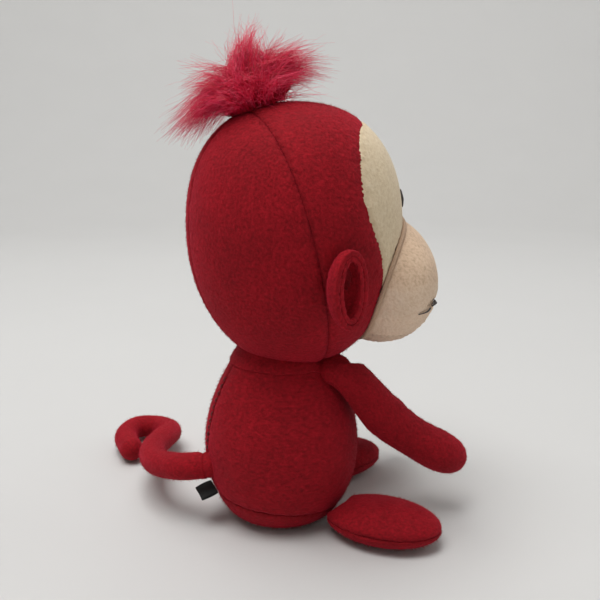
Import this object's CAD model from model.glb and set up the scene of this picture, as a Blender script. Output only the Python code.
import math
import random

import bmesh
import bpy
import numpy as np
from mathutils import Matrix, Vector, noise
from mathutils.bvhtree import BVHTree


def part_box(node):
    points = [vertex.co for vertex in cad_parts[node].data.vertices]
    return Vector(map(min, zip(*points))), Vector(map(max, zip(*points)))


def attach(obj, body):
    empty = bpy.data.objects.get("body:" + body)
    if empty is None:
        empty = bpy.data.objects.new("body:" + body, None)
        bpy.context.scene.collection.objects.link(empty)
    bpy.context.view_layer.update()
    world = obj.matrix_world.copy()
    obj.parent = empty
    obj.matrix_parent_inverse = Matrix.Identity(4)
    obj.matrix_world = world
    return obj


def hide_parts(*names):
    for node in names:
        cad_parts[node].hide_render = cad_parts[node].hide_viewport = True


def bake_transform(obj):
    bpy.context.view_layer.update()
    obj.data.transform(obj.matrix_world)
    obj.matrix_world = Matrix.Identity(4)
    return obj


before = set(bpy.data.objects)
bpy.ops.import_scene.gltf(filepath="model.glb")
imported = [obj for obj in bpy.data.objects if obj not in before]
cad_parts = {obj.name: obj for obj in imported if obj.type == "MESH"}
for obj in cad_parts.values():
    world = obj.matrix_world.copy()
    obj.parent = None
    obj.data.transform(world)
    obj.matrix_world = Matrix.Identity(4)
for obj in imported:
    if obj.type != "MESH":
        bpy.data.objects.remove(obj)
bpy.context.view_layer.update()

# ---------------------------------------------------------------- studio
# A pale paper sweep under one big soft box, with a weak bounce from the front.
# The camera looks at the toy's back and right side from a little above.

MM = 0.001
scene = bpy.context.scene
TURN, PITCH = 250.0, 12.0                     # degrees round the toy, and above the table
AIM = Vector((-2.74, -7.52, 94.8)) * MM
DISTANCE = 314 * MM                           # from the point the camera looks at

camera = bpy.data.objects.new("camera", bpy.data.cameras.new("camera"))
scene.collection.objects.link(camera)
camera.data.lens = 45
camera.data.sensor_width = 36
camera.data.clip_start, camera.data.clip_end = 0.01, 50
turn, pitch = math.radians(TURN), math.radians(PITCH)
back = Vector((math.sin(turn) * math.cos(pitch), -math.cos(turn) * math.cos(pitch), math.sin(pitch)))
camera.location = AIM + back * DISTANCE
camera.rotation_mode = "QUATERNION"
camera.rotation_quaternion = (-back).to_track_quat("-Z", "Y")
scene.camera = camera
scene.view_settings.view_transform = "Standard"


def linear(code):
    """An sRGB hex colour as linear red, green, blue and alpha."""
    parts = [int(code[i:i + 2], 16) / 255 for i in (1, 3, 5)]
    curve = [p / 12.92 if p <= 0.04045 else ((p + 0.055) / 1.055) ** 2.4 for p in parts]
    return (*curve, 1.0)


def add(tree, kind, inputs=None, **settings):
    """Adds one shader node. Settings are its properties; inputs are values, or sockets to link."""
    made = tree.nodes.new("ShaderNode" + kind)
    for key, value in settings.items():
        setattr(made, key, value)
    for key, value in (inputs or {}).items():
        if isinstance(value, bpy.types.NodeSocket):
            tree.links.new(value, made.inputs[key])
        else:
            made.inputs[key].default_value = value
    return made


def new_material(name):
    """An empty material, its node tree and its shader."""
    material = bpy.data.materials.new(name)
    material.use_nodes = True
    tree = material.node_tree
    return material, tree, tree.nodes["Principled BSDF"]


def matt_paper():
    """Seamless background paper: matt, very slightly mottled."""
    material, tree, shader = new_material("matt_background_paper")
    spots = add(tree, "TexNoise", {"Scale": 30.0, "Detail": 3.0})
    shade = add(tree, "MapRange", {"Value": spots.outputs[0], "To Min": 0.985, "To Max": 1.015})
    tone = add(tree, "Mix", {0: 1.0, 6: linear("#CDCCCA"), 7: shade.outputs[0]},
               data_type="RGBA", blend_type="MULTIPLY")
    tree.links.new(tone.outputs[2], shader.inputs["Base Color"])
    shader.inputs["Roughness"].default_value = 0.75
    shader.inputs["Specular IOR Level"].default_value = 0.25
    return material


def paper_sweep():
    """A round table of paper that curves up into a wall all round."""
    flat, curve, height, steps = 1.1, 0.9, 2.6, 96
    outline = [(0.0, 0.0), (flat * 0.5, 0.0), (flat, 0.0)]
    outline += [(flat + curve * math.sin(a), curve * (1 - math.cos(a)))
                for a in [math.pi / 2 * i / 16 for i in range(1, 17)]]
    outline += [(flat + curve, height)]
    verts = [(r * math.cos(2 * math.pi * k / steps), r * math.sin(2 * math.pi * k / steps), z)
             for r, z in outline[1:] for k in range(steps)]
    faces = [(i * steps + k, (i + 1) * steps + k,
              (i + 1) * steps + (k + 1) % steps, i * steps + (k + 1) % steps)
             for i in range(len(outline) - 2) for k in range(steps)]
    faces.append(tuple(range(steps)))
    mesh = bpy.data.meshes.new("paper_sweep")
    mesh.from_pydata(verts, [], faces)
    mesh.shade_smooth()
    sweep = bpy.data.objects.new("paper_sweep", mesh)
    scene.collection.objects.link(sweep)
    mesh.materials.append(matt_paper())


def soft_box(name, place, size, power, target):
    """A square light that faces its target."""
    lamp = bpy.data.lights.new(name, "AREA")
    lamp.shape = "SQUARE"
    lamp.size = size
    lamp.energy = power
    holder = bpy.data.objects.new(name, lamp)
    scene.collection.objects.link(holder)
    holder.location = place
    aim = target - Vector(place)
    holder.rotation_euler = aim.to_track_quat("-Z", "Y").to_euler()


paper_sweep()
TOY = Vector((0, 0, 0.09))
soft_box("overhead_soft_box", (-0.1, 0.35, 1.45), 1.0, 19.0, TOY)
soft_box("front_bounce", (-0.2, -1.4, 0.8), 0.9, 2.0, TOY)
soft_box("wall_wash", (0.9, -0.35, 1.9), 1.2, 13.0, Vector((2.0, -0.75, 0.7)))
world = bpy.data.worlds.new("room_light")
scene.world = world
world.use_nodes = True
world.node_tree.nodes["Background"].inputs["Color"].default_value = linear("#E9ECEF")
world.node_tree.nodes["Background"].inputs["Strength"].default_value = 0.38

# ---------------------------------------------------------------- fillings
# Polyester fibre fill, blown in through a seam left open for it. It presses the cloth out between
# the seams, where the thread holds the cloth in, and the panels follow it.

SEAM_HOLD = 3.5 * MM        # how near a seam the thread holds the cloth
SWELL_CAP = 0.9 * MM        # the most the filling moves the cloth
SHRINK = 0.7 * MM           # the fill starts this much inside its final place
FILL_PRESSURE = 4.0
SWELL_FRAMES = 20
FILL_INSET = 0.4 * MM       # how far the swelled fill stays behind the cloth


def arrays_of(mesh):
    """The places of a mesh's vertices, as an array."""
    points = np.empty(len(mesh.vertices) * 3)
    mesh.vertices.foreach_get("co", points)
    return points.reshape(-1, 3)


def normals_of(mesh):
    """The outward directions at a mesh's vertices, as an array."""
    values = np.empty(len(mesh.vertices) * 3, np.float32)
    mesh.vertex_normals.foreach_get("vector", values)
    return values.reshape(-1, 3).astype(float)


def tree_of(nodes):
    """A search tree over the surfaces of several CAD nodes, or None for none."""
    verts, faces = [], []
    for name in nodes:
        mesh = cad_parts[name].data
        start = len(verts)
        verts += [v.co[:] for v in mesh.vertices]
        faces += [[i + start for i in p.vertices] for p in mesh.polygons]
    return BVHTree.FromPolygons(verts, faces) if verts else None


def rebuilt(piece, cell):
    """A piece's surface, rebuilt in even cells of that size."""
    grid = piece.modifiers.new("grid", "REMESH")
    grid.mode = "VOXEL"
    grid.voxel_size = cell
    shape = bpy.data.meshes.new_from_object(piece.evaluated_get(bpy.context.evaluated_depsgraph_get()))
    piece.modifiers.clear()
    shape.name = piece.name
    shape.shade_smooth()
    return shape


def remeshed(node, name, cell):
    """A new piece with a CAD node's surface, rebuilt in even cells of that size."""
    piece = bpy.data.objects.new(name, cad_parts[node].data.copy())
    scene.collection.objects.link(piece)
    piece.data.materials.clear()
    piece.data = rebuilt(piece, cell)
    return piece


def subdivided(mesh, levels, name):
    """A smooth subdivided copy of a mesh."""
    holder = bpy.data.objects.new(name, mesh)
    scene.collection.objects.link(holder)
    finer = holder.modifiers.new("finer", "SUBSURF")
    finer.levels = levels
    made = bpy.data.meshes.new_from_object(holder.evaluated_get(bpy.context.evaluated_depsgraph_get()))
    bpy.data.objects.remove(holder)
    made.name = name
    return made


def simulated(piece, panels):
    """Swells a filling with air pressure against pins at its seams; returns the moved points."""
    start = arrays_of(piece.data)
    trees = [tree_of([n]) for n in panels]
    hold = piece.vertex_groups.new(name="seam")
    for i, point in enumerate(start):
        near = sorted(t.find_nearest(Vector(point))[3] for t in trees)
        gap = near[1] - near[0] if len(near) > 1 else SEAM_HOLD
        hold.add([i], max(0.0, 1 - gap / SEAM_HOLD), "REPLACE")
    piece.data.vertices.foreach_set("co", (start - normals_of(piece.data) * SHRINK).ravel())
    cloth = piece.modifiers.new("cloth", "CLOTH")
    cloth.settings.use_pressure = True
    cloth.settings.uniform_pressure_force = FILL_PRESSURE
    cloth.settings.effector_weights.gravity = 0.0
    cloth.settings.vertex_group_mass = "seam"
    cloth.settings.quality = 4
    for step in range(1, SWELL_FRAMES + 1):
        scene.frame_set(step)
    shape = piece.evaluated_get(bpy.context.evaluated_depsgraph_get()).to_mesh()
    moved = arrays_of(shape) - start
    piece.modifiers.clear()
    scene.frame_set(1)
    length = np.linalg.norm(moved, axis=1, keepdims=True)
    return start, moved * np.minimum(1, SWELL_CAP / np.maximum(length, 1e-9))


def fibre_fill():
    """Polyester fibre fill: matt white crimped fibre in loose tufts."""
    material, tree, shader = new_material("crimped_polyester_fibre_fill")
    place = add(tree, "TexCoord").outputs["Object"]
    crimp = add(tree, "TexNoise", {"Vector": place, "Scale": 900.0, "Detail": 4.0, "Distortion": 2.0})
    tone = add(tree, "Mix", {0: crimp.outputs[0], 6: linear("#D8D6D0"), 7: linear("#F4F3F0")},
               data_type="RGBA")
    bump = add(tree, "Bump", {"Height": crimp.outputs[0], "Strength": 0.6, "Distance": 0.5 * MM})
    tree.links.new(tone.outputs[2], shader.inputs["Base Color"])
    tree.links.new(bump.outputs[0], shader.inputs["Normal"])
    shader.inputs["Roughness"].default_value = 0.95
    shader.inputs["Sheen Weight"].default_value = 0.4
    return material


FIBRE_FILL = fibre_fill()
swell = {}


def fasten(piece, body, nodes):
    """A piece stands for its CAD nodes and moves with their body."""
    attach(piece, body)
    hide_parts(*nodes)


def filling(node, name, body, panels, cell=3.0):
    """Makes a filling, and keeps how far it pushes the panels that cover it. The cell is in mm."""
    piece = remeshed(node, name, cell * MM)
    if panels:
        start, moved = simulated(piece, panels)
        piece.data.vertices.foreach_set("co", start.ravel())
        rest = subdivided(piece.data.copy(), 2, "rest")
        piece.data.vertices.foreach_set("co", (start + moved).ravel())
        full = subdivided(piece.data.copy(), 2, "full")
        before, after = arrays_of(rest), arrays_of(full)
        faces = [p.vertices[:] for p in rest.polygons]
        shift = (after - before)[np.array([f[0] for f in faces])]
        swell[node] = (BVHTree.FromPolygons(before.tolist(), faces), shift)
        full_size = start + moved - normals_of(piece.data) * FILL_INSET
        piece.data.vertices.foreach_set("co", full_size.ravel())
    piece.data = subdivided(piece.data, 1, name)
    piece.data.shade_smooth()
    piece.data.materials.append(FIBRE_FILL)
    fasten(piece, body, [node])
    return piece


# ---------------------------------------------------------------- plush cloth
# Short-pile polyester plush: a knitted back with a dense cut pile about two millimetres deep.
# The pile clumps a little, leans with the nap and closes over the seams.

PILE_CELL = 0.5 * MM
PILE_ROOT = 0.9 * MM        # below this depth of cloth there is no pile
PILE_FULL = 1.7 * MM        # above this depth the pile is whole
SEAM_WIDTH = 1.2 * MM       # how far from a seam the cloth is drawn in
PUCKER_WIDTH = 2.6          # mm, size of the gathers beside a seam, and how far they reach
PUCKER_DEPTH = 0.5          # mm
BARE_EDGE = 1.8 * MM        # width of the smooth edge beside the face
TABLE_GAP = 0.05 * MM       # least height of a panel above the table
FIBRE_LEAN, FIBRE_SCATTER = 0.75, 0.42      # along the nap and every way, as shares of the length
FIBRE_RADIUS = 0.075 * MM
FIBRE_FOOT = 0.35 * MM      # length of a fibre that is hidden in the cloth
THREE_SIDES = (0, 2.094, 4.189)             # radians
rng = np.random.default_rng(7)


def smooth_step(low, high, values):
    """0 at low, 1 at high and a smooth curve in between, for an array of values."""
    t = np.clip((values - low) / (high - low), 0, 1)
    return t * t * (3 - 2 * t)


def relaxed(values, edges, rounds):
    """Averages a value at each vertex with its neighbours, a number of times."""
    count = np.bincount(edges.ravel(), minlength=len(values)).astype(float)[:, None]
    for _ in range(rounds):
        total = np.zeros_like(values)
        for a, b in ((0, 1), (1, 0)):
            for axis in range(values.shape[1]):
                total[:, axis] += np.bincount(edges[:, a], values[edges[:, b], axis], len(values))
        values = 0.3 * values + 0.7 * total / np.maximum(count, 1)
    return values


def pile_height(points, grain, depth):
    """How far clumps of pile stand out, in metres; grain is the size of a clump along X, Y, Z in mm."""
    scale = 1 / (np.array(grain) * MM)
    heights = np.empty(len(points))
    for i, p in enumerate(points):
        coarse = noise.noise(Vector(p * scale))
        fine = noise.noise(Vector(p * scale * 2.3) + Vector((7.1, 3.3, 1.7)))
        heights[i] = 0.65 * coarse + 0.35 * fine
    return heights * depth * MM


def with_fibres(mesh, height, seam, edge, fibres, length, nap):
    """Adds cut fibres to a panel's mesh: slim spikes that lean with the nap. fibres is how many
    stand on a square millimetre, length is in mm, and none grow on the bare edge."""
    points, normals = arrays_of(mesh), normals_of(mesh)
    quads = np.empty(len(mesh.polygons) * 4, int)
    mesh.polygons.foreach_get("vertices", quads)
    quads = quads.reshape(-1, 4)
    outer = np.where((height[quads].min(axis=1) > -0.5) & (edge[quads].max(axis=1) < 0.3))[0]
    sides = points[quads[outer]]
    area = np.linalg.norm(np.cross(sides[:, 2] - sides[:, 0], sides[:, 3] - sides[:, 1]), axis=1) / 2
    count = int(fibres * area.sum() / MM ** 2)
    pick = outer[rng.choice(len(outer), count, p=area / area.sum())]
    share = rng.random((count, 2))[:, :, None]
    corner = points[quads[pick]]
    root = ((corner[:, 0] * (1 - share[:, 0]) + corner[:, 1] * share[:, 0]) * (1 - share[:, 1])
            + (corner[:, 3] * (1 - share[:, 0]) + corner[:, 2] * share[:, 0]) * share[:, 1])
    out = normals[quads[pick]].mean(axis=1)
    lean = np.array(nap) * FIBRE_LEAN + rng.normal(0, FIBRE_SCATTER, (count, 3))
    lean -= out * (lean * out).sum(axis=1, keepdims=True)
    way = out + lean
    way /= np.linalg.norm(way, axis=1, keepdims=True)
    side = np.cross(way, rng.normal(0, 1, (count, 3)))
    side /= np.linalg.norm(side, axis=1, keepdims=True)
    other = np.cross(way, side)
    reach = (length * MM * rng.uniform(0.6, 1.25, count))[:, None]
    base = root - way * FIBRE_FOOT
    ring = [base + FIBRE_RADIUS * (side * math.cos(a) + other * math.sin(a)) for a in THREE_SIDES]
    spikes = np.stack(ring + [base + way * reach], axis=1).reshape(-1, 3)
    first = len(points) + 4 * np.arange(count)[:, None]
    sides = np.concatenate([first + np.array(t) for t in ((0, 1, 3), (1, 2, 3), (2, 0, 3), (2, 1, 0))])
    mesh.vertices.add(4 * count)
    mesh.vertices.foreach_set("co", np.concatenate([points, spikes]).ravel())
    mesh.loops.add(sides.size)
    mesh.loops.foreach_set("vertex_index", np.concatenate([quads.ravel(), sides.ravel()]))
    mesh.polygons.add(len(sides))
    starts = np.concatenate([np.arange(len(quads)) * 4, quads.size + np.arange(len(sides)) * 3])
    mesh.polygons.foreach_set("loop_start", starts)
    mesh.update(calc_edges=True)
    tips = np.tile([0.25, 0.25, 0.25, 1.0], count)
    at = quads[pick][:, 0]
    return np.concatenate([np.clip(height, 0, 1), tips]), np.concatenate([seam, np.repeat(seam[at], 4)])


def napped(piece, beside, inside, cloth, grain=(0.95, 0.95, 0.95), depth=0.2, fibres=0.9,
           length=1.5, nap=(0, 0, -1), seam_depth=0.45, shaped=None, bare=()):
    """Gives a panel its pile, draws it in along the seams beside it, and lets the filling inside
    push it. Sizes are in mm; shaped may change the height of the pile from place to place."""
    mesh = piece.data
    points, normals = arrays_of(mesh), normals_of(mesh)
    neighbour, core, smooth_edge = tree_of(beside), tree_of(inside), tree_of(bare)
    push = swell.get(inside[0]) if inside else None
    gap = np.full(len(points), 9 * MM)
    under = np.full(len(points), 2 * MM)
    out = normals.copy()
    shift = np.zeros_like(points)
    edge = np.zeros(len(points))
    for i, p in enumerate(points):
        p = Vector(p)
        if smooth_edge and smooth_edge.find_nearest(p, BARE_EDGE)[0]:
            edge[i] = 1
        if neighbour:
            found = neighbour.find_nearest(p, 8 * MM)
            gap[i] = found[3] if found[0] else gap[i]
        if core:
            spot, facing, index, under[i] = core.find_nearest(p)
            out[i] = (p - spot) / under[i] if under[i] > 0.5 * MM else facing
        if push:
            shift[i] = push[1][push[0].find_nearest(p)[2]]
    edges = np.empty(len(mesh.edges) * 2, int)
    mesh.edges.foreach_get("vertices", edges)
    edges = edges.reshape(-1, 2)
    skin = smooth_step(PILE_ROOT, PILE_FULL, under)
    seam = np.exp(-(gap / SEAM_WIDTH) ** 2)
    rise = pile_height(points, grain, depth)
    pucker = pile_height(points, (PUCKER_WIDTH,) * 3, PUCKER_DEPTH)
    pucker *= np.exp(-(gap / (PUCKER_WIDTH * MM)) ** 2)
    if shaped:
        rise = shaped(points, rise)
    total = skin * (rise + pucker - seam_depth * MM * seam)
    moved = points + relaxed(shift, edges, 4) + out * total[:, None]
    moved[:, 2] = np.maximum(moved[:, 2], TABLE_GAP)
    mesh.vertices.foreach_set("co", moved.ravel())
    mesh.update()
    shown = np.where(skin > 0.5, np.clip(0.5 + 0.5 * rise / (0.6 * depth * MM), 0, 1), -1.0)
    if fibres:
        shown, seam = with_fibres(mesh, shown, seam, edge, fibres, length, nap)
    for label, values in (("pile", np.clip(shown, 0, 1)), ("seam", seam)):
        layer = mesh.attributes.new(label, "FLOAT", "POINT")
        layer.data.foreach_set("value", values.astype(np.float32))
    mesh.shade_smooth()
    mesh.materials.append(cloth)
    return piece


def plush_panel(node, body, beside, inside, cloth, cell=PILE_CELL, slot="red_plush", **finish):
    """One cut and sewn panel, made from the CAD panel of that name."""
    name = node.replace("_panel", "").replace("_cover", "") + "_plush"
    piece = remeshed(node, name, cell)
    napped(piece, beside, inside, cloth, **finish)
    fasten(piece, body, [node])
    return piece


def pile_fabric(name, root, middle, tip, haze, sheen=0.6, patch=0.10):
    """Cut polyester pile. Light sinks in between the fibres and catches their tips, so it is dark
    in its hollows, pale at a glancing angle and uneven where the nap has been brushed."""
    material, tree, shader = new_material(name)
    place = add(tree, "TexCoord").outputs["Object"]
    rise = add(tree, "Attribute", attribute_name="pile").outputs["Fac"]
    seam = add(tree, "Attribute", attribute_name="seam").outputs["Fac"]
    clump = add(tree, "TexNoise", {"Vector": place, "Scale": 1500.0, "Detail": 2.0})
    fibre = add(tree, "TexNoise", {"Vector": place, "Scale": 2600.0, "Detail": 2.0})
    brushed = add(tree, "TexNoise", {"Vector": place, "Scale": 60.0, "Detail": 2.0})
    speckle = add(tree, "Math", {0: clump.outputs[0], 1: 0.5}, operation="MULTIPLY_ADD")
    tree.links.new(rise, speckle.inputs[2])
    level = add(tree, "MapRange", {"Value": speckle.outputs[0], "From Min": 0.1, "From Max": 1.4})
    ramp = add(tree, "ValToRGB", {"Fac": level.outputs[0]})
    ramp.color_ramp.elements[0].color = linear(root)
    ramp.color_ramp.elements[1].color = linear(tip)
    ramp.color_ramp.elements.new(0.5).color = linear(middle)
    lie = add(tree, "MapRange", {"Value": brushed.outputs[0], "From Min": 0.3, "From Max": 0.7,
                                 "To Min": 1 - patch, "To Max": 1 + patch})
    brushed_tone = add(tree, "Mix", {0: 1.0, 6: ramp.outputs[0], 7: lie.outputs[0]},
                       data_type="RGBA", blend_type="MULTIPLY")
    shade = add(tree, "Math", {0: seam, 1: 0.4}, operation="MULTIPLY")
    tone = add(tree, "Mix", {0: shade.outputs[0], 6: brushed_tone.outputs[2], 7: linear(root)},
               data_type="RGBA")
    bump = add(tree, "Bump", {"Height": fibre.outputs[0], "Strength": 0.7, "Distance": 0.25 * MM})
    tree.links.new(tone.outputs[2], shader.inputs["Base Color"])
    tree.links.new(bump.outputs[0], shader.inputs["Normal"])
    shader.inputs["Roughness"].default_value = 0.85
    shader.inputs["Specular IOR Level"].default_value = 0.2
    shader.inputs["Sheen Weight"].default_value = sheen
    shader.inputs["Sheen Roughness"].default_value = 0.45
    shader.inputs["Sheen Tint"].default_value = linear(haze)
    return material


RED_PLUSH = pile_fabric("red_cut_pile_plush", "#6A030C", "#8E0A17", "#AE1222", "#F83858", 0.45)

# ---------------------------------------------------------------- torso
# The body is two side panels and a seat panel of red plush. They meet in a centre seam down the
# front and back and a seam round the seat. The back seam is closed by hand, so its thread shows.

TORSO_PANELS = ["torso_right_panel", "torso_left_panel", "torso_base_panel"]
filling("torso_stuffing", "torso_fibre_fill", "torso", TORSO_PANELS)
for panel in TORSO_PANELS:
    others = [n for n in TORSO_PANELS if n != panel]
    piece = plush_panel(panel, "torso", others, ["torso_stuffing"], RED_PLUSH,
                        grain=(1.7, 1.7, 0.8), depth=0.17)


def sewing_thread(name, colour):
    """Spun polyester thread: two plies twisted together, so it has a soft satin gloss."""
    material, tree, shader = new_material(name)
    place = add(tree, "TexCoord").outputs["Object"]
    ply = add(tree, "TexWave", {"Vector": place, "Scale": 1600.0, "Distortion": 1.0},
              bands_direction="DIAGONAL")
    bump = add(tree, "Bump", {"Height": ply.outputs["Fac"], "Strength": 0.5, "Distance": 0.05 * MM})
    tone = add(tree, "Mix", {0: ply.outputs["Fac"], 6: linear(colour[0]), 7: linear(colour[1])},
               data_type="RGBA")
    tree.links.new(tone.outputs[2], shader.inputs["Base Color"])
    tree.links.new(bump.outputs[0], shader.inputs["Normal"])
    shader.inputs["Roughness"].default_value = 0.5
    shader.inputs["Sheen Weight"].default_value = 0.3
    return material


def tube_mesh(name, lines, thickness, sides=6):
    """One mesh of round closed tubes, each along its own list of points."""
    verts, faces = [], []
    for line in lines:
        line = [Vector(p) for p in line]
        side = None
        first = len(verts)
        for i, p in enumerate(line):
            way = (line[min(i + 1, len(line) - 1)] - line[max(i - 1, 0)]).normalized()
            side = way.orthogonal() if side is None else (side - way * side.dot(way))
            side.normalize()
            over = way.cross(side)
            verts += [p + (side * math.cos(a) + over * math.sin(a)) * thickness / 2
                      for a in [2 * math.pi * k / sides for k in range(sides)]]
        for i in range(len(line) - 1):
            for k in range(sides):
                a, b = first + i * sides + k, first + i * sides + (k + 1) % sides
                faces.append((a, b, b + sides, a + sides))
        faces.append(tuple(first + k for k in reversed(range(sides))))
        faces.append(tuple(len(verts) - sides + k for k in range(sides)))
    mesh = bpy.data.meshes.new(name)
    mesh.from_pydata([v[:] for v in verts], [], faces)
    mesh.shade_smooth()
    piece = bpy.data.objects.new(name, mesh)
    scene.collection.objects.link(piece)
    return piece


def struck(tree, start, way):
    """Where a line meets a surface, and the surface's outward direction there."""
    spot, facing, _, _ = tree.ray_cast(Vector(start), Vector(way).normalized())
    return spot, facing


STITCH, STITCH_PITCH, BACK_SEAM_FOOT, BACK_SEAM_TOP = 1.7, 2.9, 33.0, 67.0     # mm
STITCH_SUNK = (0.9, 0.35, 0.9)      # mm its two ends and its middle lie inside the cloth
SEAM_THREAD = 0.45 * MM
torso_skin = tree_of(TORSO_PANELS)
stitches = []
for k in range(int((BACK_SEAM_TOP - BACK_SEAM_FOOT) / STITCH_PITCH)):
    low = BACK_SEAM_FOOT + k * STITCH_PITCH
    ends = [struck(torso_skin, (0.4 * MM, 90 * MM, (low + share * STITCH) * MM), (0, -1, 0))[0]
            for share in (0, 0.5, 1)]
    stitches.append([spot - Vector((0, deep * MM, 0)) for spot, deep in zip(ends, STITCH_SUNK)])
thread = tube_mesh("back_seam_thread", stitches, SEAM_THREAD)
thread.data.materials.append(sewing_thread("dark_red_sewing_thread", ("#2A0306", "#4A0810")))
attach(thread, "torso")

# ---------------------------------------------------------------- bean pouch and care label
# A small cotton pouch of plastic pellets sits low in the body to keep the toy upright. A folded
# ribbon, left plain, is caught in the back seam under the tail.


def woven_cloth(name, dark, pale, thread_mm, roughness=0.85):
    """Plain weave: warp and weft threads over and under each other, with dark dots in between."""
    material, tree, shader = new_material(name)
    place = add(tree, "TexCoord").outputs["Object"]
    scale = 0.5 / (thread_mm * MM)
    warp = add(tree, "TexWave", {"Vector": place, "Scale": scale}, bands_direction="X")
    weft = add(tree, "TexWave", {"Vector": place, "Scale": scale}, bands_direction="Z")
    cross = add(tree, "Math", {0: warp.outputs["Fac"], 1: weft.outputs["Fac"]}, operation="MULTIPLY")
    tone = add(tree, "Mix", {0: cross.outputs[0], 6: linear(dark), 7: linear(pale)}, data_type="RGBA")
    bump = add(tree, "Bump", {"Height": cross.outputs[0], "Strength": 0.5, "Distance": 0.1 * MM})
    tree.links.new(tone.outputs[2], shader.inputs["Base Color"])
    tree.links.new(bump.outputs[0], shader.inputs["Normal"])
    shader.inputs["Roughness"].default_value = roughness
    return material


def wrinkled(piece, size, height):
    """Moves a surface in and out by smooth noise of that size, in mm."""
    points, normals = arrays_of(piece.data), normals_of(piece.data)
    lift = np.array([noise.noise(Vector(p) / (size * MM)) for p in points]) * height * MM
    piece.data.vertices.foreach_set("co", (points + normals * lift[:, None]).ravel())
    piece.data.update()


pouch = remeshed("bean_pouch", "pellet_pouch", 0.35 * MM)
wrinkled(pouch, 5.0, 0.35)
pouch.data.materials.append(woven_cloth("plain_woven_cotton", "#C9C5BA", "#EDEAE2", 0.5))
fasten(pouch, "torso", ["bean_pouch"])


def moulded_pellets():
    """Moulded polypropylene pellets: milky white, slightly glossy."""
    material, tree, shader = new_material("moulded_polypropylene")
    cloud = add(tree, "TexNoise", {"Scale": 300.0})
    tone = add(tree, "Mix", {0: cloud.outputs[0], 6: linear("#DDE0E0"), 7: linear("#F2F4F4")},
               data_type="RGBA")
    tree.links.new(tone.outputs[2], shader.inputs["Base Color"])
    shader.inputs["Roughness"].default_value = 0.35
    shader.inputs["IOR"].default_value = 1.49
    shader.inputs["Subsurface Weight"].default_value = 0.2
    return material


PELLET = 2.5 * MM           # pitch of the pellets
PELLET_RADIUS = PELLET * 0.46
low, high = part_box("pellet_fill")
centre, half = (low + high) / 2, (high - low) / 2 - Vector((1, 1, 1)) * PELLET * 0.55
dice = random.Random(3)
beads = bmesh.new()
steps = [int((high - low)[axis] / PELLET) + 1 for axis in range(3)]
for i in range(steps[0]):
    for j in range(steps[1]):
        for k in range(steps[2]):
            spot = low + Vector((i + 0.5 * (k % 2), j + 0.5 * (k % 2), k * 0.8)) * PELLET
            away = Vector([(spot - centre)[axis] / half[axis] for axis in range(3)])
            if away.length < 1:
                made = bmesh.ops.create_icosphere(beads, subdivisions=2, radius=PELLET_RADIUS)["verts"]
                bmesh.ops.scale(beads, vec=(1, 1, dice.uniform(0.75, 0.95)), verts=made)
                bmesh.ops.translate(beads, vec=spot, verts=made)
mesh = bpy.data.meshes.new("plastic_pellets")
beads.to_mesh(mesh)
beads.free()
mesh.shade_smooth()
mesh.materials.append(moulded_pellets())
pellets = bpy.data.objects.new("plastic_pellets", mesh)
scene.collection.objects.link(pellets)
fasten(pellets, "torso", ["pellet_fill"])

LABEL_PLY = 0.3 * MM
LABEL_WAVE = 0.25 * MM      # how much the ribbon waves across its width
LABEL_COLUMNS = 14
low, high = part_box("care_label")
root = Vector((0, low.y, high.z - 0.5 * MM))
tip = Vector((0, high.y - 0.4 * MM, low.z + 0.5 * MM))
along, fold = tip - root, 0.35 * MM
over = Vector((0, -along.z, along.y)).normalized()
quarters = (0, 0.25, 0.5, 0.75, 1)
outline = [root + along * t + over * fold * (1 + 0.8 * math.sin(math.pi * t)) for t in quarters]
outline += [tip + along.normalized() * fold * math.cos(a) * 1.4 + over * fold * math.sin(a)
            for a in (1.0, 0.5, 0, -0.5, -1.0)]
outline += [root + along * t - over * fold * (1 + 0.6 * math.sin(math.pi * t))
            for t in reversed(quarters)]
width = high.x - low.x
verts = []
for p in outline:
    for c in range(LABEL_COLUMNS + 1):
        share = c / LABEL_COLUMNS
        verts.append((p + Vector((width * (share - 0.5), 0, LABEL_WAVE * math.sin(5 * share))))[:])
row = LABEL_COLUMNS + 1
faces = [(r * row + c, r * row + c + 1, (r + 1) * row + c + 1, (r + 1) * row + c)
         for r in range(len(outline) - 1) for c in range(LABEL_COLUMNS)]
mesh = bpy.data.meshes.new("folded_label")
mesh.from_pydata(verts, [], faces)
label = bpy.data.objects.new("folded_label", mesh)
scene.collection.objects.link(label)
thick = label.modifiers.new("ply", "SOLIDIFY")
thick.thickness = LABEL_PLY
smooth = label.modifiers.new("smooth", "SUBSURF")
smooth.levels = smooth.render_levels = 1
mesh.shade_smooth()
mesh.materials.append(woven_cloth("black_cotton_ribbon", "#080A08", "#181B16", 0.3, 0.9))
fasten(label, "torso", ["care_label"])

# ---------------------------------------------------------------- neck
# A ball of filling stands in the neck opening. A gathered strip of plush closes the gap between
# the body and the head, and gives as the head nods.

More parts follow.
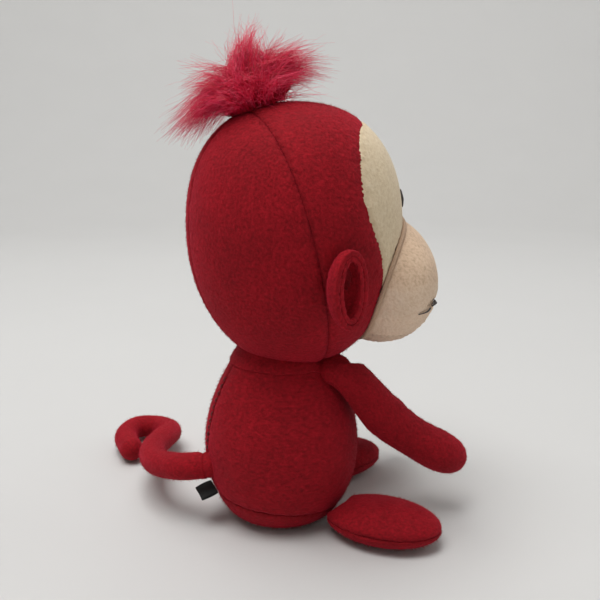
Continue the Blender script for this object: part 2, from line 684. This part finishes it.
filling("neck_stuffing", "neck_fibre_fill", "neck", [], 1.5)
head_skin = tree_of(["head_back_right_panel", "head_back_left_panel", "hood_panel"])
NECK_STEPS = 160
NECK_SEARCH = np.arange(62, 78, 0.25) * MM      # heights where the body's top edge may lie
NECK_NEAR = 12 * MM                             # nothing of the body's skin is nearer the axis
OUTSIDE = 60 * MM                               # a place outside the body, to look inward from
STRIP_OVERLAP, STRIP_TUCK = 2.5 * MM, 0.9 * MM  # on the body, and inside the head
STRIP_THICKNESS = 1.6 * MM
outside, inside = [], []
for k in range(NECK_STEPS):
    angle = 2 * math.pi * k / NECK_STEPS
    out = Vector((math.cos(angle), math.sin(angle), 0))
    edge = None
    for height in NECK_SEARCH:
        spot = struck(torso_skin, out * OUTSIDE + Vector((0, 0, height)), -out)[0]
        if spot is not None and spot.dot(out) > NECK_NEAR:
            edge = spot
    foot = struck(torso_skin, out * OUTSIDE + Vector((0, 0, edge.z - STRIP_OVERLAP)), -out)[0]
    climb = (edge - foot).normalized()
    meet = head_skin.ray_cast(edge, climb)[0] or edge + climb * 4 * MM
    outside.append([foot + out * 0.1 * MM, edge + out * 0.35 * MM, (edge + meet) / 2 + out * 0.3 * MM,
                    meet + climb * STRIP_TUCK])
    inside.append([p - out * STRIP_THICKNESS for p in reversed(outside[-1])])
verts = [p[:] for a, b in zip(outside, inside) for p in a + b]
row = len(outside[0]) + len(inside[0])
faces = [(k * row + i, ((k + 1) % NECK_STEPS) * row + i,
          ((k + 1) % NECK_STEPS) * row + (i + 1) % row, k * row + (i + 1) % row)
         for k in range(NECK_STEPS) for i in range(row)]
mesh = bpy.data.meshes.new("neck_gusset")
mesh.from_pydata(verts, [], faces)
gusset = bpy.data.objects.new("neck_gusset", mesh)
scene.collection.objects.link(gusset)
gusset.data = rebuilt(gusset, PILE_CELL)
napped(gusset, [], ["neck_stuffing"], RED_PLUSH, length=1.3)
nape, throat = outside[NECK_STEPS // 4], outside[3 * NECK_STEPS // 4]
level = (nape[1] - throat[1]).normalized()
rise = Vector((0, -level.z, level.y))
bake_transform(gusset)

# ---------------------------------------------------------------- head
# Two back panels and a hood of red plush. A side seam runs over the crown behind each ear, and
# a centre seam runs down the back.

HEAD_PANELS = ["head_back_right_panel", "head_back_left_panel", "hood_panel", "face_panel"]
filling("head_stuffing", "head_fibre_fill", "head", HEAD_PANELS)
for panel in HEAD_PANELS[:3]:
    others = [n for n in HEAD_PANELS if n != panel]
    piece = plush_panel(panel, "head", others, ["head_stuffing"], RED_PLUSH, length=1.2,
                        bare=["face_panel", "muzzle_panel"])

# ---------------------------------------------------------------- face and muzzle
# The face is smooth cream plush. The muzzle is a stuffed pouch of peach plush, smooth on top and
# nubby below, with a crease sewn across it for the mouth.

CREAM_PLUSH = pile_fabric("cream_smooth_velour", "#C9B291", "#DCC8A8", "#E8D9BF", "#F3E9DA",
                          0.3, 0.03)
PEACH_PLUSH = pile_fabric("peach_sheared_plush", "#B4967E", "#DDBFA2", "#EBD3BC", "#F0DDCB",
                          0.3, 0.05)

low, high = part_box("mouth_embroidery")
MOUTH_AT = (low.z + high.z) / 2
MOUTH_HALF = (high.x - low.x) / 2
CREASE_DEPTH, CREASE_WIDTH = 1.5 * MM, 1.7 * MM
NUB, NUB_HEIGHT = 1.8, 0.9          # mm


def muzzle_pile(points, rise):
    """Curly nubs up to a millimetre high under the cheek, and the crease of the mouth."""
    nubs = pile_height(points, (NUB,) * 3, NUB_HEIGHT)
    under = smooth_step(MOUTH_AT + 12 * MM, MOUTH_AT - 2 * MM, points[:, 2])
    reach = smooth_step(MOUTH_HALF * 1.12, MOUTH_HALF * 0.8, np.abs(points[:, 0]))
    front = smooth_step(-0.045, -0.052, points[:, 1])
    crease = np.exp(-((points[:, 2] - MOUTH_AT) / CREASE_WIDTH) ** 2) * reach * front
    return rise * (1 - under) + np.abs(nubs) * under - CREASE_DEPTH * crease


filling("muzzle_stuffing", "muzzle_fibre_fill", "head", ["muzzle_panel", "chin_panel"], 2.5)
face = plush_panel("face_panel", "head", ["hood_panel", "muzzle_panel"], ["head_stuffing"],
                   CREAM_PLUSH, grain=(1.0, 1.0, 1.0), depth=0.10, fibres=0, seam_depth=0.15,
                   slot="cream_plush")
muzzle = plush_panel("muzzle_panel", "head", ["chin_panel", "face_panel", "hood_panel"],
                     ["muzzle_stuffing"], PEACH_PLUSH, grain=(1.0, 1.0, 1.0), depth=0.12, fibres=0,
                     shaped=muzzle_pile, seam_depth=0.0, slot="peach_plush")
chin = plush_panel("chin_panel", "head", ["muzzle_panel", "face_panel", "hood_panel"],
                   ["muzzle_stuffing"], PEACH_PLUSH, grain=(1.0, 1.0, 1.0), depth=0.12, fibres=0,
                   shaped=muzzle_pile, seam_depth=0.1, slot="peach_plush")

# A soft cord lies in the crease where the muzzle meets the face and the hood, and closes it.
MEETS = 0.12 * MM
CREASE_CORD = 1.9 * MM
CREASE_STEPS = 90
head_front = tree_of(["face_panel", "hood_panel"])
low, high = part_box("muzzle_panel")
middle = (low + high).z / 2
rim = [[] for _ in range(CREASE_STEPS)]
for name in ("muzzle_panel", "chin_panel"):
    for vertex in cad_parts[name].data.vertices:
        if head_front.find_nearest(vertex.co)[3] < MEETS:
            around = math.atan2(vertex.co.z - middle, vertex.co.x) / (2 * math.pi) % 1
            rim[int(around * CREASE_STEPS)].append(vertex.co)
loop = [sum(spots, Vector()) / len(spots) for spots in rim if spots]
loop = [(a + b * 2 + c) / 4 for a, b, c in zip(loop[-1:] + loop[:-1], loop, loop[1:] + loop[:1])]
crease = tube_mesh("muzzle_crease_cord", [loop + loop[:2]], CREASE_CORD, 8)
crease.data.materials.append(PEACH_PLUSH)
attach(crease, "head")

# ---------------------------------------------------------------- mouth and eyes
# Rayon embroidery thread. The mouth is a line of stem stitch in the crease that ends each side in a
# knot with one short stitch under it; the eyes are satin stitch, thread beside thread.

BROWN_THREAD = sewing_thread("dark_brown_embroidery_thread", ("#150B07", "#3A261C"))
THREAD = 0.42 * MM
EYE_LIFT, KNOT_LIFT, TICK_LIFT, LINE_LIFT = 0.3 * MM, 0.9 * MM, 0.4 * MM, 0.2 * MM
MOUTH_STITCHES, KNOT_THREADS, TICK_THREADS = 26, 7, 3
muzzle_skin = tree_of(["muzzle_panel"])
face_skin = tree_of(["face_panel"])


def sewn_line(tree, ends, lift, count=6):
    """Points of an arched thread on a surface, seen from the front, between two (x, z) ends."""
    line = []
    for i in range(count + 1):
        share = i / count
        x = ends[0][0] * (1 - share) + ends[1][0] * share
        z = ends[0][1] * (1 - share) + ends[1][1] * share
        spot, facing = struck(tree, (x, -0.12, z), (0, 1, 0))
        line.append(spot + facing * (lift * math.sin(math.pi * share) - 0.1 * MM))
    return line


lines = []
for i in range(MOUTH_STITCHES):
    x = MOUTH_HALF * (2 * i / MOUTH_STITCHES - 1) * 0.93
    wide = 2.3 * MOUTH_HALF / MOUTH_STITCHES
    ends = (x, MOUTH_AT - 0.2 * MM), (x + wide, MOUTH_AT + 0.2 * MM)
    line = sewn_line(muzzle_skin, ends, LINE_LIFT)
    lines.append([p + Vector((0, 1.35 * MM, 0)) for p in line])
for side in (-1, 1):
    knot_height = MOUTH_AT + 0.6 * MM
    for k in range(KNOT_THREADS):
        x = side * (MOUTH_HALF - 1.6 * MM + 0.36 * MM * k)
        tall = (1.25 - 0.09 * (k - 3) ** 2) * MM
        lines.append(sewn_line(muzzle_skin, ((x, knot_height - tall), (x, knot_height + tall)),
                               KNOT_LIFT))
    for k in range(TICK_THREADS):
        x = side * (MOUTH_HALF + 0.35 * MM + 0.33 * MM * k)
        ends = (x - side * 0.6 * MM, MOUTH_AT - 1.2 * MM), (x + side * 1.3 * MM, MOUTH_AT - 2.9 * MM)
        lines.append(sewn_line(muzzle_skin, ends, TICK_LIFT))
mouth = tube_mesh("mouth_stitching", lines, THREAD)
mouth.data.materials.append(BROWN_THREAD)
fasten(mouth, "head", ["mouth_embroidery"])

for side in ("right", "left"):
    low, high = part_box(f"{side}_eye")
    centre, half = (low + high) / 2, (high - low) / 2
    lines = []
    count = int(2 * half.x / (THREAD * 0.8))
    for k in range(count):
        across = 2 * (k + 0.5) / count - 1
        tall = half.z * math.sqrt(1 - across * across)
        x = centre.x + across * half.x
        ends = (x, centre.z - tall), (x, centre.z + tall)
        lines.append(sewn_line(face_skin, ends, EYE_LIFT, 10))
    eye = tube_mesh(f"{side}_eye_stitching", lines, THREAD)
    eye.data.materials.append(BROWN_THREAD)
    fasten(eye, "head", [f"{side}_eye"])

# ---------------------------------------------------------------- ears
# Each ear is two plies of red plush sewn round the edge, folded into a cup.

for side in ("right", "left"):
    for ply in ("outer", "inner"):
        plush_panel(f"{side}_ear_{ply}", f"{side}_ear", [], [], RED_PLUSH, grain=(0.95, 0.95, 0.95),
                    depth=0.25, fibres=0.9, length=1.3, cell=0.4 * MM)

# ---------------------------------------------------------------- hair tuft
# A patch of long-pile faux fur on the crown. Its acrylic fibres stand up in loose locks that part
# to the front, back and top, with single hairs flying off.


def acrylic_hair(name, colour):
    """Acrylic fibre, dyed: translucent, so it is bright where thin, with a soft line of gloss."""
    material, tree, shader = new_material(name)
    shader.inputs["Base Color"].default_value = linear(colour)
    shader.inputs["Roughness"].default_value = 0.42
    shader.inputs["Specular IOR Level"].default_value = 0.45
    shader.inputs["Sheen Weight"].default_value = 0.2
    shader.inputs["Sheen Tint"].default_value = linear("#F04060")
    return material


HAIR_COLOURS = [acrylic_hair("dark_red_acrylic_hair", "#B00A26"),
                acrylic_hair("red_acrylic_hair", "#D81038"),
                acrylic_hair("pink_red_acrylic_hair", "#EE2A58"),
                acrylic_hair("pale_acrylic_hair", "#F0486C")]
low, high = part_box("tuft_base")
PATCH = Vector(((low.x + high.x) / 2, (low.y + high.y) / 2, high.z))
PATCH_RADIUS = (high.x - low.x) / 2
ROOTS_REACH = 1.15                  # hair roots spread this much past the patch
HAIR_WAVE = 0.55 * MM
crown = tree_of(["head_back_right_panel", "head_back_left_panel", "hood_panel", "tuft_base"])


def hair_mesh(name, roots, rises, tips, thickness, joints, shades):
    """Slim three-sided hairs, each a bent line from its root over its rise to its tip. A hair is
    dark at its root and paler to its tip, in steps, from its own shade."""
    count = len(roots)
    share = np.linspace(0, 1, joints)[None, :, None]
    line = (roots[:, None] * (1 - share) ** 2 + 2 * rises[:, None] * share * (1 - share)
            + tips[:, None] * share ** 2)
    wave = rng.normal(0, 1, (count, 2, 3)) * HAIR_WAVE
    line = (line + wave[:, None, 0] * np.sin(share * 7) * share
            + wave[:, None, 1] * np.sin(share * 13) * share)
    way = np.gradient(line, axis=1)
    way /= np.linalg.norm(way, axis=2, keepdims=True)
    side = np.cross(way, rng.normal(0, 1, (count, 1, 3)))
    side /= np.linalg.norm(side, axis=2, keepdims=True)
    over = np.cross(way, side)
    radius = thickness / 2 * (1 - 0.8 * share ** 2)
    ring = np.stack([line + radius * (side * math.cos(a) + over * math.sin(a))
                     for a in THREE_SIDES], axis=2)
    base = (np.arange(count) * joints * 3)[:, None, None]
    step = (np.arange(joints - 1) * 3)[None, :, None]
    quads = []
    for k in range(3):
        n = (k + 1) % 3
        quads.append(np.concatenate([base + step + o for o in (k, n, n + 3, k + 3)], axis=2))
    quads = np.stack(quads, axis=2).reshape(-1, 4)
    last = (joints - 1) * 3
    ends = np.concatenate([base[:, 0] + np.array((2, 1, 0)), base[:, 0] + last + np.array((0, 1, 2))])
    mesh = bpy.data.meshes.new(name)
    mesh.vertices.add(count * joints * 3)
    mesh.vertices.foreach_set("co", ring.ravel())
    mesh.loops.add(quads.size + ends.size)
    mesh.loops.foreach_set("vertex_index", np.concatenate([quads.ravel(), ends.ravel()]))
    mesh.polygons.add(len(quads) + len(ends))
    starts = np.concatenate([np.arange(len(quads)) * 4, quads.size + np.arange(len(ends)) * 3])
    mesh.polygons.foreach_set("loop_start", starts)
    mesh.update(calc_edges=True)
    paler = np.repeat(np.linspace(-0.5, 1.0, joints - 1), 3)
    tone = np.repeat(shades, (joints - 1) * 3) + np.tile(paler, count)
    index = np.concatenate([np.clip(np.round(tone), 0, 3), np.zeros(len(ends))]).astype(int)
    for colour in HAIR_COLOURS:
        mesh.materials.append(colour)
    mesh.polygons.foreach_set("material_index", index)
    piece = bpy.data.objects.new(name, mesh)
    scene.collection.objects.link(piece)
    return piece


def on_patch(count):
    """Random points on the fur patch, and the way the head faces there."""
    spots = []
    while len(spots) < count:
        x, y = rng.uniform(-1, 1, 2)
        if x * x + y * y < 1:
            over = PATCH + Vector((x, y, 0)) * PATCH_RADIUS * ROOTS_REACH + Vector((0, 0, 0.03))
            spot, facing = struck(crown, over, (0, 0, -1))
            spots.append((*spot, *facing))
    return np.array(spots)


# where the locks of each group end, in mm from the patch, how many there are and how far they spread
LOCK_GROUPS = [((5, 3, 19), 30, 3.5), ((5, -2, 26), 7, 1.6), ((-7, -23, 12), 30, 3.2),
               ((-3, -14, 17), 16, 3.5), ((7, 27, -12), 30, 4.0), ((5, 20, 2), 24, 4.5),
               ((0, -2, 10), 24, 4.5)]
HAIRS_IN_LOCK = 24
HAIR, FLYAWAY_HAIR = 0.2 * MM, 0.13 * MM
roots, rises, tips, shades = [], [], [], []
for goal, locks, spread in LOCK_GROUPS:
    for base in on_patch(locks):
        root, facing = base[:3], base[3:]
        tip = np.array(PATCH) + (np.array(goal) + rng.normal(0, spread, 3)) * MM
        far = np.linalg.norm(tip - root)
        rise = root + facing * far * rng.uniform(0.45, 0.7) + rng.normal(0, 1.5, 3) * MM
        shade = rng.normal(1.3, 0.5)
        for _ in range(HAIRS_IN_LOCK):
            roots.append(root + rng.normal(0, 1.0, 3) * MM * (1, 1, 0.2))
            rises.append(rise + rng.normal(0, 1.6, 3) * MM)
            tips.append(root + (tip - root) * rng.uniform(0.7, 1.1) + rng.normal(0, 1.5, 3) * MM)
            shades.append(shade + rng.normal(0, 0.5))
FOOT_HAIRS = 1700
base = on_patch(FOOT_HAIRS)
flare = (base[:, :3] - np.array(PATCH)) * 0.9 + rng.normal(0, 2.2, (FOOT_HAIRS, 3)) * MM
rise = base[:, 3:] * rng.uniform(6, 13, (FOOT_HAIRS, 1)) * MM
roots += list(base[:, :3])
rises += list(base[:, :3] + rise * 0.7 + flare * 0.2)
tips += list(base[:, :3] + rise + flare)
shades += list(rng.normal(1.6, 0.5, FOOT_HAIRS))
tuft = hair_mesh("hair_tuft_locks", np.array(roots), np.array(rises), np.array(tips), HAIR, 8,
                 np.array(shades))
fasten(tuft, "head", ["hair_tuft"])

FLYAWAYS = 220
base = on_patch(FLYAWAYS)
aim = rng.normal(0, 1, (FLYAWAYS, 3)) * (0.5, 1.0, 0.45) + (0.1, 0.05, 0.6)
aim /= np.linalg.norm(aim, axis=1, keepdims=True)
reach = rng.uniform(16, 31, (FLYAWAYS, 1)) * MM
flyaways = hair_mesh("flyaway_hairs", base[:, :3], base[:, :3] + base[:, 3:] * reach * 0.5,
                     base[:, :3] + aim * reach, FLYAWAY_HAIR, 9, rng.normal(1.6, 0.6, FLYAWAYS))
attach(flyaways, "head")
plush_panel("tuft_base", "head", [], ["head_stuffing"], HAIR_COLOURS[0], cell=0.35 * MM,
            slot="tuft_fur", length=3.0, fibres=1.5, nap=(0, 0.3, 0.5))

# ---------------------------------------------------------------- arms
# Each arm is a stuffed sleeve of two panels, with a seam along the top and the underside.

for side in ("right", "left"):
    body = f"{side}_arm"
    panels = [f"{body}_outer_panel", f"{body}_inner_panel"]
    filling(f"{body}_stuffing", f"{body}_fibre_fill", body, panels, 2.2)
    for panel in panels:
        others = [n for n in panels if n != panel]
        piece = plush_panel(panel, body, others, [f"{body}_stuffing"], RED_PLUSH, nap=(0, -1, -1))

# ---------------------------------------------------------------- feet
# Each foot is a stuffed paddle: a top panel and a sole, gathered a little where they meet.

for side in ("right", "left"):
    body = f"{side}_foot"
    panels = [f"{body}_top_panel", f"{body}_sole_panel"]
    filling(f"{body}_stuffing", f"{body}_fibre_fill", body, panels, 2.5)
    for panel in panels:
        others = [n for n in panels if n != panel]
        piece = plush_panel(panel, body, others, [f"{body}_stuffing"], RED_PLUSH, nap=(0, -1, -0.3))

# ---------------------------------------------------------------- tail
# A long stuffed tube that curls once on the table behind the toy.

filling("tail_stuffing", "tail_fibre_fill", "tail", ["tail_cover"], 2.0)
tail = plush_panel("tail_cover", "tail", [], ["tail_stuffing"], RED_PLUSH, nap=(1, 0, 0))

# ---------------------------------------------------------------- sewn joints
# Where a limb is sewn on, its plush is gathered into a soft knob on the hinge, so no gap opens as
# it turns.


def gathered_knob(name, body, at, radius, squash=1.0):
    """A ball of plush on a hinge, half hidden in the body, flattened by its share in height."""
    made = bmesh.new()
    bmesh.ops.create_icosphere(made, subdivisions=4, radius=radius)
    bmesh.ops.scale(made, vec=(1, 1, squash), verts=made.verts)
    bmesh.ops.translate(made, vec=at, verts=made.verts)
    mesh = bpy.data.meshes.new(name)
    made.to_mesh(mesh)
    made.free()
    knob = bpy.data.objects.new(name, mesh)
    scene.collection.objects.link(knob)
    knob.data = rebuilt(knob, PILE_CELL)
    napped(knob, [], [], RED_PLUSH, length=1.3)
    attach(knob, body)


gathered_knob("tail_root_plush", "tail", Vector((0, 32.0, 26.0)) * MM, 5.6 * MM)
for side, way in (("right", -1), ("left", 1)):
    gathered_knob(f"{side}_shoulder_plush", f"{side}_arm", Vector((way * 17.5, -17.0, 67.8)) * MM,
                  7.6 * MM, 0.85)
